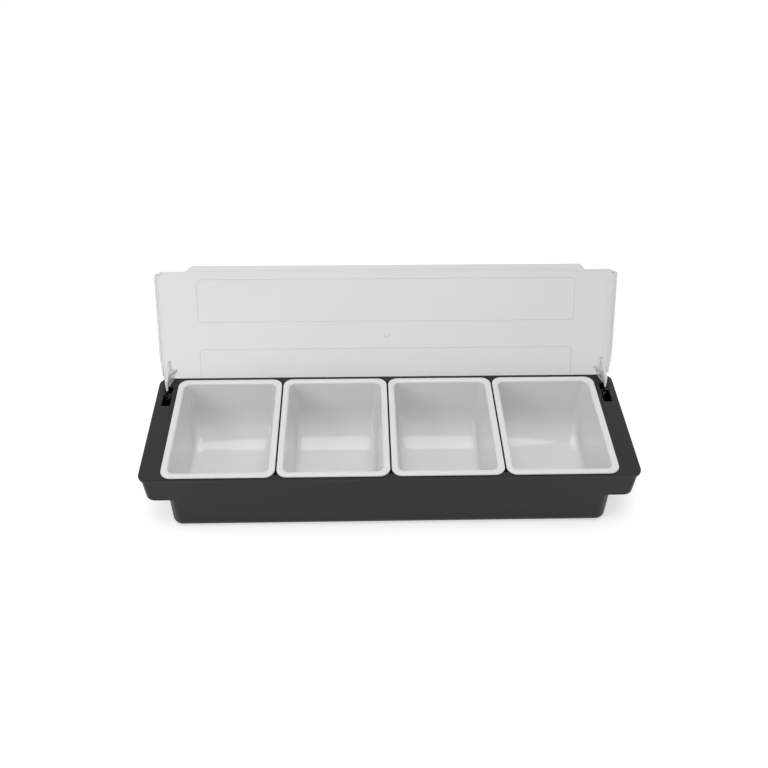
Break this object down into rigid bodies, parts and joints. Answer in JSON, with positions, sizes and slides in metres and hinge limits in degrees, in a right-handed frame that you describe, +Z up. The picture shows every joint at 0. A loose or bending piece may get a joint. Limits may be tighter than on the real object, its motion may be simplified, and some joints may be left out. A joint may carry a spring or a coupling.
{
  "type": "condiment caddy",
  "caption": "Counter condiment caddy: a black stepped tray with a row of lift-out white inserts under a clear hinged lid that leans open at the back.",
  "frame": {"origin": "centre of the flat underside of the tray", "axes": "+X along the row of inserts, +Y to the back where the lid is hinged, +Z up"},
  "size_m": [0.49, 0.2099, 0.1803],
  "materials": {
    "tray_plastic": "satin black moulded plastic",
    "insert_plastic": "glossy white moulded plastic",
    "lid_plastic": "clear moulded plastic"
  },
  "bodies": {
    "base": {"base_tray": "tray_plastic"},
    "lid": {"lid": "lid_plastic"},
    "insert_1": {"insert_1": "insert_plastic"},
    "insert_2": {"insert_2": "insert_plastic"},
    "insert_3": {"insert_3": "insert_plastic"},
    "insert_4": {"insert_4": "insert_plastic"}
  },
  "joints": [
    {"name": "lid_hinge", "type": "hinge", "parent": "base", "child": "lid", "pos_m": [0, 0.055, 0.0653], "axis": [-1, 0, 0], "range_deg": [-114.15, 0]},
    {"name": "insert_1_lift", "type": "slide", "parent": "base", "child": "insert_1", "axis": [0, 0, 1], "range_m": [0, 0.085]},
    {"name": "insert_2_lift", "type": "slide", "parent": "base", "child": "insert_2", "axis": [0, 0, 1], "range_m": [0, 0.085]},
    {"name": "insert_3_lift", "type": "slide", "parent": "base", "child": "insert_3", "axis": [0, 0, 1], "range_m": [0, 0.085]},
    {"name": "insert_4_lift", "type": "slide", "parent": "base", "child": "insert_4", "axis": [0, 0, 1], "range_m": [0, 0.085]}
  ]
}
